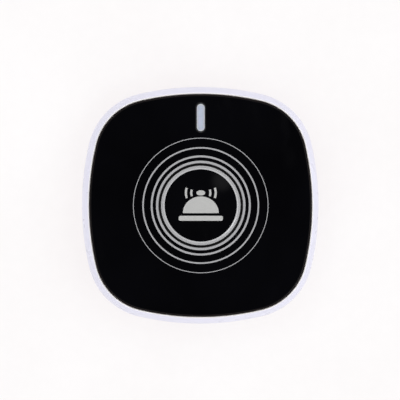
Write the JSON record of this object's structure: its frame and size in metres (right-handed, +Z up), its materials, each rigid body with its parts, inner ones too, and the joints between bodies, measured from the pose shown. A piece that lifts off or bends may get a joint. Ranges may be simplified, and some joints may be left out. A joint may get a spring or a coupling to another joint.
{
  "type": "table call button",
  "caption": "Palm-sized rounded-square wireless call button with a glossy panel, a domed push cap, a light window, rubber feet and a bayonet battery door.",
  "frame": {"origin": "on the surface the feet rest on, under the middle of the housing", "axes": "+Z up out of the front panel, +Y towards the light window, +X to the right seen from above"},
  "size_m": [0.082, 0.082, 0.0175],
  "materials": {
    "housing_white": "smooth white moulding with a faint lavender cast, satin gloss",
    "panel_black": "glossy black back-coated sheet",
    "cap_black": "glossy black moulding",
    "silver_ink": "silver-grey printed ink, slightly metallic",
    "window_frost": "frosted pale light guide",
    "tape_white": "thin adhesive foam sheet",
    "foot_rubber": "matt soft rubber",
    "seal_rubber": "smooth rubber ring",
    "screw_steel": "zinc-plated steel",
    "spring_steel": "drawn spring wire",
    "contact_metal": "nickel-plated strip",
    "cell_steel": "nickel-plated steel, fine turned marks",
    "cell_plastic": "dark sealing ring",
    "board_green": "green solder mask on glass laminate",
    "chip_black": "matt moulded package with tinned legs",
    "switch_black": "matt moulded plastic",
    "plunger_white": "smooth moulded plastic",
    "lamp_clear": "clear lens on a white base",
    "antenna_copper": "enamelled copper wire",
    "ceramic_black": "resistor body with tinned ends",
    "ceramic_tan": "capacitor body with tinned ends"
  },
  "bodies": {
    "case": {"base_shell": "housing_white", "top_shell": "housing_white", "front_panel": "panel_black", "panel_tape": "tape_white", "light_guide": "window_frost", "rubber_feet": "foot_rubber", "case_screws": "screw_steel", "switch_body": "switch_black", "switch_plate": "contact_metal", "switch_pins": "contact_metal", "circuit_board": "board_green", "board_screws": "screw_steel", "signal_lamps": "lamp_clear", "controller_chip": "chip_black", "radio_chip": "chip_black", "crystal_can": "cell_steel", "spring_antenna": "antenna_copper", "chip_resistors": "ceramic_black", "chip_capacitors": "ceramic_tan", "cell_can": "cell_steel", "cell_ring": "cell_plastic", "cell_lid": "cell_steel", "negative_contact": "contact_metal", "positive_contact": "contact_metal"},
    "call_button": {"call_cap": "cap_black", "return_spring": "spring_steel"},
    "plunger": {"switch_plunger": "plunger_white"},
    "door": {"battery_door": "housing_white", "door_seal": "seal_rubber"}
  },
  "joints": [
    {"name": "call_press", "type": "slide", "parent": "case", "child": "call_button", "axis": [0, 0, -1], "range_m": [0, 0.0005], "stiffness_N_per_m": 1500, "springref_m": -0.0006, "deforming": ["return_spring"]},
    {"name": "plunger_press", "type": "slide", "parent": "case", "child": "plunger", "axis": [0, 0, -1], "range_m": [0, 0.0005]},
    {"name": "door_turn", "type": "hinge", "parent": "case", "child": "door", "pos_m": [0, 0, 0.0009], "axis": [0, 0, -1], "range_deg": [0, 50]}
  ],
  "couplings": [
    {"joint": "plunger_press", "follows": "call_press", "ratio": 1}
  ]
}
